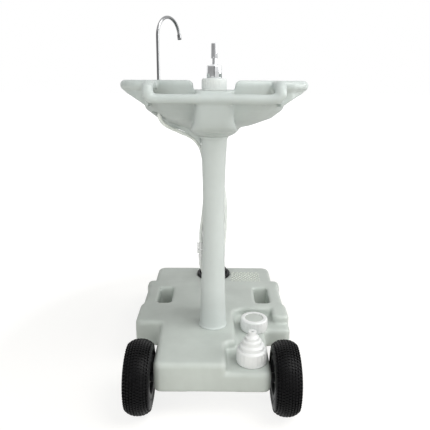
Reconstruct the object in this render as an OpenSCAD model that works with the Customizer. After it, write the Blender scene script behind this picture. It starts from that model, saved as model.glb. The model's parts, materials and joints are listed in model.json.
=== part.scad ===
// Camp wash stand: a basin with towel rails on a waisted column over a wheeled water tank.
// The wheels are at the -Y end, and the user stands at the +Y end. Millimetres throughout.

/* [Stand] */
// Height of the basin's rim above the floor
rim_z = 876; // [866:1:886]
// Height of the tank's deck
deck_z = 160; // [158:1:164]
// Height of the tank's underside
tank_bottom_z = 72; // [70:1:76]
// How far the column stands from the middle, towards the wheels
column_back = 106; // [100:1:108]

/* [Tank] */
// Width between the wheels
front_w = 316; // [310:1:317]
// Width behind the wheels
body_w = 481; // [476:1:484]
// Width at the foot pump's end
far_w = 438; // [430:1:442]
// Overall length of the stand
stand_l = 790; // [786:1:796]
// Length of the tank
tank_l = 726; // [722:1:728]
// Radius of the tank's soft edges
soft_r = 12; // [8:1:13]
// Height of the lowered floor under the two caps
cap_floor_z = 133; // [131:1:134]
// Height of the foot pump's platform
platform_z = 148; // [146:1:150]
// Wall thickness of the mouldings
wall = 6; // [5:1:7]

/* [Wheels] */
// Diameter over the tread
wheel_d = 200; // [200:1:202]
// Width of the tyre
tyre_w = 74; // [72:1:76]
// Distance of the tyre's middle from the stand's middle
wheel_x = 197; // [196:1:200]
// Diameter of the axle
axle_d = 16; // [14:1:16]

/* [Column] */
// Diameter at the foot
foot_d = 80; // [76:1:80]
// Diameter at the waist
waist_d = 60; // [56:1:62]
// Height of the waist above the floor
waist_z = 500; // [480:1:520]
// Diameter at the top
top_d = 73; // [72:1:74]

/* [Basin] */
// Distance over the side rails
basin_w = 474; // [470:1:478]
// Diameter of the side rails
side_rail_d = 26; // [24:1:26]
// Diameter of the near rail
near_rail_d = 23; // [21:1:23]
// Depth of the near rail's middle below the rim
near_rail_drop = 42; // [40:1:43]
// Depth of the shelf for tap and soap below the rim
shelf_drop = 23; // [21:1:24]
// Depth of the user's lip below the rim
lip_drop = 30; // [26:1:32]
// Depth of the bowl below the rim
bowl_drop = 113; // [111:1:114]

/* [Tap and soap] */
// Diameter of the tap's tube
tap_d = 8; // [7:0.5:8]
// Height of the straight part of the tap above the rim
tap_straight = 105; // [100:0.5:108]
// Radius of the tap's bend
tap_bend_r = 48; // [44:1:50]
// Angle of the bend
tap_bend = 168; // [150:1:175]
// Direction of the tap's spout, from +X towards +Y
tap_turn = 60; // [40:1:80]
// Diameter of the soap collar
collar_d = 57.5; // [56:0.5:58]

/* [Hoses] */
// Diameter of the supply hose
supply_d = 10; // [9:0.5:10]
// Diameter of the drain hose
drain_d = 20; // [18:0.5:20]

/* [Hidden] */
$fn = 64;

tank_plastic = "#b8c2bd";
basin_plastic = "#c3cfcf";
column_plastic = "#c9d2d1";
cap_white = "#e6e8e8";
tyre_black = "#242527";
chrome = "#b9bcc0";

edge_steps = 3;    // facets round a soft edge
corner_turn = 18;  // degrees of a corner in one facet
gap = 0.3;         // between pieces that don't touch

// Tank: places along Y
tank_near_y = stand_l / 2 - tank_l;
wide_y = -95;
waist_in = 7;      // how far the hand holes' stretch is drawn in
deck_end_y = 234;
tank_far_y = stand_l / 2;
far_corner_r = 30;
hand_hole = [[141, 189], [44, 167.5]];
socket_r = 36;     // column's socket
socket_drop = 29;
fill_at = [127, -83];
adapter_at = [107, -269];
neck_r = 30;
neck_bore_r = 24;
neck_top_z = cap_floor_z + 28;
pump_at = [0, 324];
well_r = 60;
well_z = 112;
spigot_r = 9;      // bore for the pump's suction spigot
inlet_at = [22, -38];
inlet_r = 8;
axle_y = -(stand_l - wheel_d) / 2;
axle_z = wheel_d / 2;
axle_r = axle_d / 2;

// Basin, measured from the column's axis and the rim
tap_at = [-142, -60];
soap_at = [0, -165];
soap_hole_r = 29.8;
soap_hole_drop = 100;
drain_at = [0, 100];
drain_r = 17;
boss_drop = 54;    // flat over the tap's nut
nut_room_r = 17;   // round the tap's nut
neck_drop = 147;   // end of the basin's neck
neck_socket_r = 33.3;
rim_power = 2.6;

// Hose routes, measured from the column's axis and the floor
tap_route = [[-142, -60, 800], [-142, -60, 794], [-142, -60, 786], [-139, -55, 774], [-130, -43, 762],
    [-118, -29, 753], [-104, -15, 745], [-89, -4, 737], [-74, 4, 730], [-60, 13, 721], [-48, 22, 708],
    [-36, 28, 686], [-27, 32, 640], [-25, 33, 570], [-29, 28, 510], [-36, 23, 455], [-37, 22, 434],
    [-37, 22, 424], [-37, 22, 414]];
pump_route = [[-37, 22, 360], [-37, 22, 352], [-37, 22, 344], [-29, 31, 310], [-18, 44, 262],
    [-12, 62, 212], [-12, 90, 180], [-12, 130, 166.5], [-12, 180, 165.5], [-12, 240, 165.5],
    [-13, 300, 168], [-14, 334, 170], [-14, 342, 170], [-14, 350, 170]];
drain_route = [[0, 100, 711], [0, 100, 701], [0, 100, 691], [5, 89, 650], [15, 64, 604], [25, 40, 562],
    [30, 32, 522], [30, 32, 484], [29, 35, 440], [26, 44, 388], [23, 58, 330], [22, 67, 275],
    [22, 68, 220], [22, 68, 210], [22, 68, 200]];

function unit(v) = v / norm(v);

// An arc of radius r that rounds the corner p between its neighbours a and b
function corner_arc(a, p, b, r) =
    let (u = unit(a - p), v = unit(b - p), half = acos(u * v) / 2,
        c = p + unit(u + v) * r / sin(half),
        q = p + u * r / tan(half) - c,
        s = p + v * r / tan(half) - c,
        from = atan2(q.y, q.x),
        turn = (atan2(s.y, s.x) - from + 540) % 360 - 180,
        steps = max(1, round(abs(turn) / corner_turn)))
    [for (i = [0 : steps]) c + r * [cos(from + turn * i / steps), sin(from + turn * i / steps)]];

// A closed outline from [x, y, radius] corners, counterclockwise
function rounded_outline(corners) =
    let (n = len(corners))
    [for (i = [0 : n - 1])
        let (a = corners[(i + n - 1) % n], p = corners[i], b = corners[(i + 1) % n])
        each corner_arc([a.x, a.y], [p.x, p.y], [b.x, b.y], p.z)];

// The outline moved inwards by d
function inset(path, d) =
    let (n = len(path))
    [for (i = [0 : n - 1])
        let (p = path[i], e = unit(p - path[(i + n - 1) % n]), f = unit(path[(i + 1) % n] - p),
            m = unit([-e.y - f.y, e.x + f.x]))
        p + m * d / (m * [-e.y, e.x])];

function at_height(path, z) = [for (p = path) [p.x, p.y, z]];

// A ring of 48 points on a rounded oval: half-width a, half-depth b, middle y, height z
function oval_ring(a, b, y, z, power) =
    [for (i = [0 : 47])
        let (c = cos(i * 7.5), s = sin(i * 7.5))
        [a * sign(c) * pow(abs(c), 2 / power), y + b * sign(s) * pow(abs(s), 2 / power), z]];

// Points of a smooth curve through a route
function smooth_route(p, steps) =
    [for (i = [0 : len(p) - 2])
        let (a = p[max(i - 1, 0)], b = p[i], c = p[i + 1], d = p[min(i + 2, len(p) - 1)])
        each [for (k = [0 : steps - (i == len(p) - 2 ? 0 : 1)])
            let (t = k / steps)
            (2 * b + (c - a) * t + (2 * a - 5 * b + 4 * c - d) * t * t
                + (3 * b - a - 3 * c + d) * t * t * t) / 2]];

function tangent(p, i) = unit(p[min(i + 1, len(p) - 1)] - p[max(i - 1, 0)]);

// A direction square to the path, carried along it without twist
function carried(p, i) =
    let (t = tangent(p, i), v = i == 0 ? [0.3, 0.9, 0.2] : carried(p, i - 1))
    unit(v - t * (t * v));

function middle(ring) = [for (k = [0 : 2]) [for (p = ring) p[k]] * [for (p = ring) 1]] / len(ring);

// A closed solid through equal rings of points, from the first ring to the last,
// with each end closed by a fan from the hub, which sees the whole ring
module skin(rings, hub = undef) {
    n = len(rings[0]);
    last = len(rings) - 1;
    ends = n * (last + 1);
    sides = [for (k = [0 : last - 1], i = [0 : n - 1])
        let (a = k * n, j = (i + 1) % n)
        each [[a + i, a + n + i, a + n + j], [a + i, a + n + j, a + j]]];
    caps = [for (i = [0 : n - 1])
        let (j = (i + 1) % n)
        each [[ends, i, j], [ends + 1, last * n + j, last * n + i]]];
    hubs = [for (r = [rings[0], rings[last]]) is_undef(hub) ? middle(r) : [hub.x, hub.y, r[0].z]];
    polyhedron(points = concat([for (r = rings) each r], hubs),
        faces = concat(sides, caps));
}

// A round bar along a path, with a radius for each point
module swept(path, radii, sides) {
    skin([for (i = [0 : len(path) - 1])
        let (u = carried(path, i), w = cross(tangent(path, i), u), r = radii[i])
        [for (k = [0 : sides - 1])
            path[i] + r * (cos(360 * k / sides) * u + sin(360 * k / sides) * w)]]);
}

module hose(route, steps, d, sides) {
    path = smooth_route(route, steps);
    swept(path, [for (p = path) d / 2], sides);
}

// A block with an outline in plan and soft edges above and below
module soft_block(outline, z0, z1, r, hub = undef) {
    skin(hub = hub, rings = concat(
        [for (i = [0 : edge_steps])
            let (a = 90 * i / edge_steps)
            at_height(inset(outline, r * (1 - sin(a))), z0 + r * (1 - cos(a)))],
        [for (i = [edge_steps : -1 : 0])
            let (a = 90 * i / edge_steps)
            at_height(inset(outline, r * (1 - sin(a))), z1 - r * (1 - cos(a)))]));
}

// A box between two limits on each axis
module span(x, y, z) {
    translate([x[0], y[0], z[0]]) cube([x[1] - x[0], y[1] - y[0], z[1] - z[0]]);
}

module disc_at(at, r, z0, z1) {
    translate([at.x, at.y, z0]) cylinder(h = z1 - z0, r = r);
}

module along_x(x0, x1, r) {
    translate([x0, axle_y, axle_z]) rotate([0, 90, 0]) cylinder(h = x1 - x0, r = r);
}

module revolve_at(at, profile) {
    translate([at.x, at.y, 0]) rotate_extrude() polygon(profile);
}

module at_column() {
    translate([0, -column_back, 0]) children();
}

module at_rim() {
    translate([0, -column_back, rim_z]) children();
}

module both_sides() {
    children();
    mirror([1, 0, 0]) children();
}

// Tank

// Right half of the tank's plan behind the front block, from front to back
function side_corners(s) = [
    [s * body_w / 2, wide_y, 20],
    [s * body_w / 2, 27, 20],
    [s * (body_w / 2 - waist_in), 45, 20],
    [s * (body_w / 2 - waist_in), 172, 20],
    [s * (body_w / 2 - 1), 190, 20],
    [s * (body_w / 2 - 1), deck_end_y, 17]];

function flip(list) = [for (i = [len(list) - 1 : -1 : 0]) list[i]];

lower_outline = rounded_outline(concat(
    [[-front_w / 2, tank_near_y, 20], [front_w / 2, tank_near_y, 20], [front_w / 2, wide_y, 18]],
    side_corners(1),
    [[far_w / 2, deck_end_y + 8, 7], [far_w / 2, tank_far_y, far_corner_r],
     [-far_w / 2, tank_far_y, far_corner_r], [-far_w / 2, deck_end_y + 8, 7]],
    flip(side_corners(-1)),
    [[-front_w / 2, wide_y, 18]]));

// The deck leaves the lowered floor for the two caps free, at the near right
upper_outline = rounded_outline(concat(
    [[-front_w / 2, tank_near_y, 20], [37, tank_near_y, 15], [37, -209, 14], [67, -209, 15], [67, 3, 34],
     [body_w / 2, 3, 14]],
    [for (i = [1 : 5]) side_corners(1)[i]],
    flip(side_corners(-1)),
    [[-front_w / 2, wide_y, 18]]));

// The deck's shoulder beside the lowered floor, over the right wheel
shoulder_outline = rounded_outline([[187, -56, 18], [body_w / 2, -56, 17], side_corners(1)[1],
    side_corners(1)[2], [body_w / 2 - waist_in, 80, 14], [187, 80, 14]]);

deck_hub = [0, 60];  // sees all of the outlines below

platform_outline = rounded_outline([[-far_w / 2, 180, 16], [far_w / 2, 180, 16],
    [far_w / 2, tank_far_y, far_corner_r], [-far_w / 2, tank_far_y, far_corner_r]]);

leg_outline = rounded_outline([[112, 316, 16], [188, 316, 16], [188, 378, 16], [112, 378, 16]]);

room_floor_z = tank_bottom_z + wall;
low_ceiling_z = cap_floor_z - wall;
high_ceiling_z = deck_z - wall;
low = [room_floor_z, low_ceiling_z];
high = [low_ceiling_z - 1, high_ceiling_z];
socket_floor = 19;  // solid under the column's socket
boss_z = deck_z - socket_drop - socket_floor;

// The waste room lies in front and round the column's socket
module waste_room() {
    difference() {
        union() {
            span([-147, 147], [-279, -125], low);
            span([-147, 61], [-126, 0], low);
            span([-222, -146], [-84, 0], low);
            span([-147, 25], [-279, -125], high);
            span([-147, 55], [-126, 0], high);
            span([-222, -146], [-84, 0], high);
        }
        disc_at([0, -column_back], 44, boss_z, deck_z);
    }
}

// The fresh water room lies to the right and under the far half of the deck
module fresh_room() {
    span([70, 147], [-117, 29], low);
    span([146, 222], [-84, 27], low);
    span([-127, 127], [28, 250], low);
    span([-222, 71], [8, 29], low);
    span([-127, 127], [28, 222], high);
    span([-222, -126], [8, 29], high);
    span([-127, 127], [249, 343], [room_floor_z, well_z - wall]);
}

module hand_hole_cut() {
    x = hand_hole[0];
    y = hand_hole[1];
    r = 8;
    translate([0, 0, tank_bottom_z - 1]) linear_extrude(deck_z - tank_bottom_z + 2) union() {
        translate([x[0] + r, y[0]]) square([x[1] - x[0] - 2 * r, y[1] - y[0]]);
        translate([x[0], y[0] + r]) square([x[1] - x[0], y[1] - y[0] - 2 * r]);
        for (cx = [x[0] + r, x[1] - r], cy = [y[0] + r, y[1] - r])
            translate([cx, cy]) circle(r);
    }
}

module screw_neck(at) {
    disc_at(at, neck_r, low_ceiling_z - 1, neck_top_z);
    for (z = [neck_top_z - 6, neck_top_z - 13])
        translate([at.x, at.y, z]) rotate_extrude() polygon([[neck_r - 1, -1.6], [neck_r + 0.7, -0.5],
            [neck_r + 0.7, 0.5], [neck_r - 1, 1.6]]);
}

module tank() {
    color(tank_plastic) difference() {
        union() {
            soft_block(lower_outline, tank_bottom_z, cap_floor_z, soft_r, deck_hub);
            soft_block(upper_outline, tank_bottom_z + soft_r + 8, deck_z, soft_r, deck_hub);
            soft_block(shoulder_outline, tank_bottom_z + soft_r + 8, deck_z, soft_r);
            soft_block(platform_outline, tank_bottom_z + soft_r + 10, platform_z, soft_r);
            both_sides() soft_block(leg_outline, 0, tank_bottom_z + 20, 5);
            screw_neck(fill_at);
            screw_neck(adapter_at);
        }
        waste_room();
        fresh_room();
        both_sides() hand_hole_cut();
        disc_at(fill_at, neck_bore_r, low_ceiling_z - 2, neck_top_z + 1);
        disc_at(adapter_at, neck_bore_r, low_ceiling_z - 2, neck_top_z + 1);
        disc_at([0, -column_back], socket_r, deck_z - socket_drop, deck_z + 1);
        disc_at(inlet_at, inlet_r, high_ceiling_z - 1, deck_z + 1);
        disc_at(pump_at, well_r, well_z, deck_z + 1);
        disc_at(pump_at, spigot_r, well_z - wall - 1, well_z + 1);
        along_x(-front_w / 2 - 1, front_w / 2 + 1, axle_r + 0.2);
        span([-70, 65], [tank_near_y - 1, tank_near_y + 60], [tank_bottom_z - 1, tank_bottom_z + 4]);
    }
}

// Axle and wheels

hub_w = 54;
bush_r = 11;
axle_end = wheel_x + tyre_w / 2 - 2;

module axle() {
    color("silver") along_x(-axle_end, axle_end, axle_r);
}

module ring_x(x0, x1, r, bore) {
    difference() {
        along_x(x0, x1, r);
        along_x(x0 - 1, x1 + 1, bore);
    }
}

module spacer() {
    color("dimgray") ring_x(front_w / 2 + gap, wheel_x - hub_w / 2 - 2 - gap, 13, axle_r + 0.1);
}

module left_spacer() { mirror([1, 0, 0]) spacer(); }
module right_spacer() { spacer(); }

// Rounded tyre section about the wheel's axis, from bead to bead
tyre_section = concat(
    [[52, -29.5], [61, -29.5], [68, 2 - tyre_w / 2]],
    [for (a = [-80 : 10 : 80])
        let (c = pow(cos(a), 0.8), s = sign(a) * pow(abs(sin(a)), 0.8))
        [78 + (wheel_d / 2 - 80.5) * c, tyre_w / 2 * s]],
    [[68, tyre_w / 2 - 2], [61, 29.5], [52, 29.5]]);

// Rounded tyre with the middle ridge of its tread
module tyre() {
    color(tyre_black) translate([wheel_x, axle_y, axle_z]) rotate([0, 90, 0]) union() {
        rotate_extrude() polygon(tyre_section);
        rotate_extrude() polygon([[90, -6], [wheel_d / 2 - 0.8, -6], [wheel_d / 2, -4.5],
            [wheel_d / 2, 4.5], [wheel_d / 2 - 0.8, 6], [90, 6]]);
    }
}

module left_tyre() { mirror([1, 0, 0]) tyre(); }
module right_tyre() { tyre(); }

rim_section = [[44, -29], [47, -33], [58, -33], [58, -30], [52, -29.5], [52, 29.5], [58, 30], [58, 33],
    [47, 33], [44, 29]];

module rim() {
    color("#3a3c3e") translate([wheel_x, axle_y, axle_z]) rotate([0, 90, 0]) difference() {
        union() {
            rotate_extrude() polygon(rim_section);
            translate([0, 0, -4]) cylinder(h = 8, r = 46);
            translate([0, 0, -hub_w / 2]) cylinder(h = hub_w, r = 18);
            for (i = [0 : 4]) rotate(72 * i + 36) translate([16, -3, -22]) cube([30, 6, 44]);
        }
        translate([0, 0, -hub_w / 2 - 1]) cylinder(h = hub_w + 2, r = bush_r);
        for (i = [0 : 4]) rotate(72 * i) translate([31, 0, -6]) cylinder(h = 12, r = 9);
    }
}

module left_rim() { mirror([1, 0, 0]) rim(); }
module right_rim() { rim(); }

module bush() {
    color("ivory") union() {
        ring_x(wheel_x - hub_w / 2 - 2, wheel_x - hub_w / 2, 15, axle_r + 0.07);
        ring_x(wheel_x - hub_w / 2 - 1, wheel_x + hub_w / 2 + 2, bush_r, axle_r + 0.07);
    }
}

module left_bush() { mirror([1, 0, 0]) bush(); }
module right_bush() { bush(); }

module axle_cap() {
    x0 = wheel_x + hub_w / 2 + 2 + gap;
    color("#3a3c3e") difference() {
        translate([x0, axle_y, axle_z]) rotate([0, 90, 0]) rotate_extrude()
            polygon([[0, 0], [15, 0], [15, 3], [11, 5], [9.5, 8], [0, 8]]);
        along_x(x0 - 1, axle_end, axle_r);
    }
}

module left_axle_cap() { mirror([1, 0, 0]) axle_cap(); }
module right_axle_cap() { axle_cap(); }

// Screw caps

cap_r = 41;
cap_bore_r = 31.2;
seal_h = 2;
cap_z = cap_floor_z + 1;
seal_z = neck_top_z;

module knurl(at, r, z0, z1, count) {
    for (i = [0 : count - 1])
        translate([at.x, at.y, z0]) rotate(360 * i / count) translate([r, 0, 0])
            rotate(45) translate([-0.9, -0.9, 0]) cube([1.8, 1.8, z1 - z0]);
}

module fill_cap() {
    color(cap_white) union() {
        revolve_at(fill_at, [[cap_bore_r, cap_z], [cap_r - 1, cap_z], [cap_r, cap_z + 1],
            [cap_r, cap_z + 33], [cap_r - 3, cap_z + 36], [28.5, cap_z + 36], [28.5, cap_z + 32],
            [0, cap_z + 32],
            [0, seal_z + seal_h], [cap_bore_r, seal_z + seal_h]]);
        knurl(fill_at, cap_r - 0.4, cap_z + 2, cap_z + 31, 24);
    }
}

module fill_cap_disc() {
    color("#abb1ad") disc_at(fill_at, 28, cap_z + 32, cap_z + 34);
}

module seal(at) {
    color("dimgray") difference() {
        disc_at(at, neck_r, seal_z, seal_z + seal_h);
        disc_at(at, neck_bore_r, seal_z - 1, seal_z + seal_h + 1);
    }
}

module fill_seal() { seal(fill_at); }
module adapter_seal() { seal(adapter_at); }

// Stepped cap: each tier takes another size of hose
tip_r = 11;
tip_bore_r = 3.75;
tip_z = cap_floor_z + 91;

module adapter_cap() {
    z = cap_z;
    color(cap_white) union() {
        revolve_at(adapter_at, [[cap_bore_r, z], [cap_r - 1, z], [cap_r, z + 1], [cap_r, z + 36],
            [cap_r - 4, z + 40], [33.5, z + 40], [33.5, z + 50], [31.5, z + 52], [26.5, z + 54],
            [25.5, z + 64], [19.5, z + 67], [18.5, z + 75], [13, z + 78], [tip_r, z + 80],
            [tip_r, tip_z], [tip_bore_r, tip_z], [tip_bore_r, z + 77], [8, z + 76],
            [14, z + 66], [15.5, z + 64], [21.5, z + 54], [22.5, z + 50], [22.5, seal_z + seal_h],
            [cap_bore_r, seal_z + seal_h]]);
        knurl(adapter_at, cap_r - 0.4, z + 2, z + 34, 24);
    }
}

// Foot pump

ring_z = platform_z + 5;
bellows_top_z = 166;

module pump_housing() {
    color("#202123") revolve_at(pump_at, [[0, 112.3], [5, 112.3], [5, 106], [8.8, 106], [8.8, 112.3],
        [59.6, 112.3], [59.6, platform_z + 2], [54, platform_z + 2], [54, 117], [0, 117]]);
}

module pump_ring() {
    color("#26272a") revolve_at(pump_at, [[51.5, platform_z + 4.3], [60.2, platform_z + 4.3],
        [60.2, platform_z + gap], [62.8, platform_z + gap], [63, platform_z + 2], [62.5, ring_z + 2],
        [60, ring_z + 4], [53, ring_z + 4], [51.5, ring_z + 2]]);
}

// One fold between the clamped rim and the closed top
module pump_bellows() {
    z = platform_z + 2;
    top_z = bellows_top_z;
    color("#1b1c1e") revolve_at(pump_at, [[51, z + 0.2], [55.5, z + 0.2], [55.5, z + 2], [51.2, z + 2.1],
        [50.5, z + 3.5], [50.5, z + 5], [45, z + 8], [49.5, z + 11], [45, z + 14], [45, top_z], [0, top_z],
        [0, top_z - 2.5], [42, top_z - 2.5], [46.5, z + 11], [42, z + 8], [47.5, z + 4.5]]);
}

spring_turns = 5;

module pump_spring() {
    path = [for (i = [0 : spring_turns * 12])
        let (a = 30 * i)
        [pump_at.x + 22 * cos(a), pump_at.y + 22 * sin(a),
            119 + (bellows_top_z - 6.5 - 119) * i / (spring_turns * 12)]];
    color("silver") swept(path, [for (p = path) 1.6], 6);
}

// Domed tread plate with ribs across it
module pump_pedal() {
    z = bellows_top_z;
    color("#202123") union() {
        revolve_at(pump_at, [[0, z], [46, z], [46, z - 2], [49, z - 1], [49, z + 3], [46, z + 7.5],
            [36, z + 9], [0, z + 9.5]]);
        for (x = [-24 : 12 : 24])
            span([x - 2, x + 2], [pump_at.y - 30, pump_at.y + 30], [z + 7, z + 11]);
    }
}

module pump_outlet() {
    color("#26272a") union() {
        disc_at([-14, 268], 5, ring_z + 4, 170);
        translate([-14, 268, 170]) sphere(5);
        translate([-14, 268, 170]) rotate([90, 0, 0]) cylinder(h = 24, r = 5);
    }
}

// Column

column_top_z = rim_z - neck_drop - 6;

// The column's radius at height z: widest at the foot, thin at the waist
function column_r(z) =
    z < waist_z
    ? waist_d / 2 + (foot_d - waist_d) / 2 * pow((waist_z - z) / (waist_z - deck_z), 1.3)
    : waist_d / 2 + (top_d - waist_d) / 2 * pow((z - waist_z) / (column_top_z - waist_z), 2);

module column() {
    heights = [for (i = [0 : 14]) deck_z + 5 + (column_top_z - deck_z - 5) * i / 14];
    outside = [for (z = heights) [column_r(z), z]];
    inside = [for (z = flip(heights)) [column_r(z) - 4, z]];
    spigot_top = rim_z - neck_drop + 20;
    color(column_plastic) at_column() rotate_extrude() polygon(concat(
        [[31, deck_z - socket_drop + 1], [socket_r - 0.2, deck_z - socket_drop + 1],
         [socket_r - 0.2, deck_z], [foot_d / 2 + 2, deck_z], [foot_d / 2 + 2, deck_z + 3],
         [foot_d / 2, deck_z + 5]],
        outside,
        [[neck_socket_r - 0.3, column_top_z], [neck_socket_r - 0.3, spigot_top],
         [neck_socket_r - 4, spigot_top]],
        inside));
}

module column_collar() {
    color(column_plastic) at_rim() difference() {
        translate([0, 0, -neck_drop - 6]) cylinder(h = 6, r = 39.5);
        translate([0, 0, -neck_drop - 7]) cylinder(h = 8, r = neck_socket_r - 0.2);
    }
}

// Basin

// Rings of the outer shell and of the bowl: half-width, half-depth, middle, drop below the rim, power
shell_rings = [[76, 98, 35, 124, 2], [106, 108, 35, 118, 2.05], [157, 138, 24, 98, 2.2],
    [185, 162, 18, 75, 2.3], [191, 176, 11, 50, 2.45], [193, 181, 10, 12, 2.6], [191, 179, 10, 3, 2.6],
    [187, 175, 10, 0, 2.6]];
bowl_rings = [[44, 32, 98, bowl_drop, 2], [85, 56, 82, 108, 2], [128, 86, 60, 92, 2.1],
    [160, 107, 48, 62, 2.2], [172, 116, 45, 30, 2.4], [174, 118, 45, 20, 2.4]];
shelf_ring = [180, 166, 10];

module oval_skin(rings) {
    skin([for (r = rings) oval_ring(r[0], r[1], r[2], -r[3], r[4])]);
}

// Side rail as a hoop: out from the near corner, along the side and down to the lip
hoop_x = (basin_w - side_rail_d) / 2;
hoop_drop = side_rail_d / 2;
hoop_route = [[150, -142, -hoop_drop], [186, -136, -hoop_drop], [214, -112, -hoop_drop],
    [hoop_x, -75, -hoop_drop], [hoop_x, 0, -hoop_drop], [hoop_x, 78, -hoop_drop],
    [214, 116, -hoop_drop - 3], [188, 146, -hoop_drop - 12], [150, 160, -hoop_drop - 20]];

// Near rail, lower than the rim, with an elbow up to the wall at each end
elbow_x = 152;
near_y_rail = -210;
elbow_route = [[elbow_x, -120, -14], [elbow_x, -165, -14], [elbow_x, -192, -14], [elbow_x, -206, -20],
    [elbow_x, near_y_rail, -32], [elbow_x - 5, near_y_rail, -near_rail_drop + 2],
    [elbow_x - 22, near_y_rail, -near_rail_drop], [elbow_x - 60, near_y_rail, -near_rail_drop],
    [0, near_y_rail, -near_rail_drop]];
elbow_radii = [14, 14, 14, 14, 13.7, 13, near_rail_d / 2, near_rail_d / 2, near_rail_d / 2];

module hoop() {
    path = smooth_route(hoop_route, 2);
    swept(path, [for (p = path) side_rail_d / 2], 12);
}

module elbow() {
    swept(elbow_route, elbow_radii, 16);
}

// Web under the hoop at its two ends, with the towel slot between them
slot_x = [196.5, 210.5];
slot_y = [-72, 86];

module rail_web() {
    difference() {
        intersection() {
            translate([0, 160, 0]) rotate([90, 0, 0]) linear_extrude(320)
                polygon([[160, -8], [225, -8], [231, -22], [211, -35], [197, -42], [183, -50], [173, -57],
                    [160, -66]]);
            translate([0, 0, -100]) linear_extrude(100)
                polygon([[140, -142], [188, -140], [218, -112], [234, -75], [234, 80], [218, 116],
                    [186, 146], [140, 160]]);
        }
        span(slot_x, slot_y, [-100, 10]);
        span([slot_x[0], 270], slot_y, [-100, -side_rail_d + 0.5]);
    }
}

// Tower for the soap bottle: upright walls, then a foot that flares back into the neck
tower_half_w = 44;
tower_front = -212;

function tower_ring(grow, front, z) =
    at_height(inset(rounded_outline([[-tower_half_w, front, 20], [tower_half_w, front, 20],
        [tower_half_w, -56, 20], [-tower_half_w, -56, 20]]), -grow), z);

module tower() {
    skin([tower_ring(2, -140, -126), tower_ring(14, -164, -119), tower_ring(10, -182, -110),
        tower_ring(4, -195, -98), tower_ring(1, -204, -82), tower_ring(0, -210, -64),
        tower_ring(0, tower_front, -50), tower_ring(0, tower_front, -shelf_drop - 7),
        tower_ring(-2, tower_front, -shelf_drop - 2), tower_ring(-7, tower_front, -shelf_drop)]);
}

// Neck that sits on the column's collar
module neck() {
    rotate_extrude() polygon([[0, -122], [neck_socket_r, -122], [neck_socket_r, -neck_drop],
        [43, -neck_drop], [54.5, -142], [64.5, -133], [70.5, -124], [77, -117], [77, -114], [0, -114]]);
}

// Web on the left that stiffens the neck, over the hose
module hose_web() {
    difference() {
        translate([0, 8, 0]) rotate([90, 0, 0]) linear_extrude(16)
            polygon([[-150, -80], [-137, -84], [-110, -101], [-36, -150], [-30, -150], [-30, -100]]);
        translate([0, 0, -190]) cylinder(h = 190 - neck_drop + 1, r = 37.5);
        translate([0, 0, -neck_drop - 7]) cylinder(h = 8, r = 40.5);
    }
}

// The notch over the tower in the near wall
module notch() {
    translate([0, -120, 0]) rotate([90, 0, 0]) linear_extrude(100) difference() {
        union() {
            translate([-49, -shelf_drop]) square([98, 40]);
            translate([-63, -14]) square([126, 30]);
        }
        for (s = [-1, 1]) translate([63 * s, -14]) circle(14);
    }
}

// What is cut away above the user's lip, seen from the side
module lip_cut() {
    drop = lip_drop;
    rotate([90, 0, 90]) translate([0, 0, -300]) linear_extrude(600)
        polygon([[70, 20], [70, 0.01], [88, -2], [106, -9], [122, -drop + 9], [140, -drop + 2],
            [160, -drop], [240, -drop], [240, 20]]);
}

module basin() {
    color(basin_plastic) at_rim() difference() {
        union() {
            difference() {
                union() {
                    oval_skin(shell_rings);
                    tower();
                }
                lip_cut();
            }
            neck();
            hose_web();
        }
        disc_at(tap_at, nut_room_r, -120, -boss_drop);
        oval_skin(bowl_rings);
        translate([0, 0, -shelf_drop]) linear_extrude(60)
            polygon([for (p = oval_ring(shelf_ring[0], shelf_ring[1], shelf_ring[2], 0, rim_power))
                [p.x, p.y]]);
        notch();
        disc_at(drain_at, drain_r, -130, -100);
        disc_at(tap_at, 8, -90, 0);
        disc_at(soap_at, soap_hole_r, -soap_hole_drop, 0);
        translate([0, 0, -neck_drop - 1]) cylinder(h = neck_drop - 121, r = neck_socket_r);
    }
}

// The rails are moulded on the basin: they end where its shell begins
module near_rail() {
    color(basin_plastic) at_rim() difference() {
        both_sides() elbow();
        oval_skin(shell_rings);
        tower();
    }
}

module rail_and_web() {
    hoop();
    rail_web();
}

module left_rail() {
    color(basin_plastic) at_rim() difference() {
        mirror([1, 0, 0]) rail_and_web();
        oval_skin(shell_rings);
        mirror([1, 0, 0]) elbow();
    }
}

module right_rail() {
    color(basin_plastic) at_rim() difference() {
        rail_and_web();
        oval_skin(shell_rings);
        elbow();
    }
}

// Drain

module drain_strainer() {
    color(chrome) at_rim() difference() {
        revolve_at(drain_at, [[0, -bowl_drop], [16.5, -bowl_drop], [16.5, -141], [14, -141],
            [14, -bowl_drop - 3], [0, -bowl_drop - 3]]);
        for (i = [0 : 5])
            translate([drain_at.x, drain_at.y, 0]) rotate(60 * i) translate([8, 0, -bowl_drop - 4])
                cylinder(h = 6, r = 2.6);
        disc_at(drain_at, 2.6, -bowl_drop - 4, -bowl_drop + 1);
    }
    color(chrome) at_rim() difference() {
        revolve_at(drain_at, [[15, -bowl_drop], [27, -bowl_drop], [25, -bowl_drop + 2.5],
            [15, -bowl_drop + 1.5]]);
    }
}

module drain_gasket() {
    color("dimgray") at_rim() difference() {
        disc_at(drain_at, 25, -126.5, -124);
        disc_at(drain_at, drain_r, -128, -123);
    }
}

module drain_nut() {
    color(cap_white) at_rim() difference() {
        union() {
            disc_at(drain_at, 25, -128.5, -126.5);
            translate([drain_at.x, drain_at.y, -136]) cylinder(h = 8, r = 25, $fn = 8);
        }
        disc_at(drain_at, 16.5, -137, -125);
    }
}

module drain_tail() {
    color(cap_white) at_rim() revolve_at(drain_at, [[14, -141], [20, -141], [20, -146], [14, -154],
        [drain_d / 2, -157], [drain_d / 2, -165], [7, -165], [7, -156], [12, -148], [14, -145]]);
}

// Tap

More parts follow.
